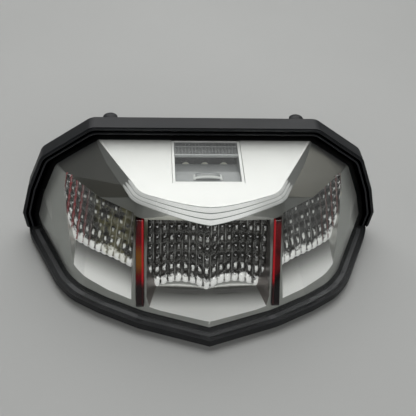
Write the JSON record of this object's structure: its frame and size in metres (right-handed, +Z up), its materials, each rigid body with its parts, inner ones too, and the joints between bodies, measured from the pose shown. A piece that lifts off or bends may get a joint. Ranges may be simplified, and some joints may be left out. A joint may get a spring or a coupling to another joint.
{
  "type": "motorcycle tail light",
  "caption": "Motorcycle rear combination lamp: clear lens over satin bezel, pillow-optic reflector chambers with red guides, plate lamp window, black housing, rubber seal.",
  "frame": {"origin": "centre of the lamp's box at the height of the surface that it stands on", "axes": "+X to the lamp's right as seen from its front tip, +Y to the rear, into the machine, +Z up"},
  "size_m": [0.206, 0.112, 0.078],
  "materials": {
    "housing_plastic": "moulded, fine grain",
    "clear_lens": "clear, polished",
    "seal_bead": "smooth bead",
    "seal_rubber": "satin, ribbed",
    "satin_metallised": "vacuum metallised, satin, with bright edges",
    "prism_optic": "bright pillow optic",
    "red_guide": "translucent red",
    "tray_grey": "bright grey",
    "clear_optic": "clear moulded",
    "board_green": "solder mask",
    "led_red": "tinted dome",
    "led_amber": "tinted dome",
    "led_white": "clear dome",
    "chip_black": "moulded",
    "socket_plastic": "moulded",
    "pin_metal": "plated",
    "insert_brass": "knurled brass",
    "screw_steel": "zinc plated"
  },
  "bodies": {
    "root": {"housing": "housing_plastic", "lens": "clear_lens", "lens_seal": "seal_bead", "gasket": "seal_rubber", "bezel": "satin_metallised", "prism_center": "prism_optic", "prism_left": "prism_optic", "prism_right": "prism_optic", "fin_left": "red_guide", "fin_right": "red_guide", "plate_tray": "tray_grey", "plate_cover": "clear_optic", "plate_optic": "clear_optic", "board_tail": "board_green", "board_turn_left": "board_green", "board_turn_right": "board_green", "board_plate": "board_green", "leds_red": "led_red", "leds_amber_left": "led_amber", "leds_amber_right": "led_amber", "leds_white": "led_white", "driver_chips": "chip_black", "resistors": "chip_black", "socket": "socket_plastic", "socket_pins": "pin_metal", "socket_seal": "seal_bead", "vent_cap": "socket_plastic", "peg_sleeves": "seal_rubber", "inserts": "insert_brass", "board_screws": "screw_steel", "bezel_screws": "screw_steel"}
  },
  "joints": []
}
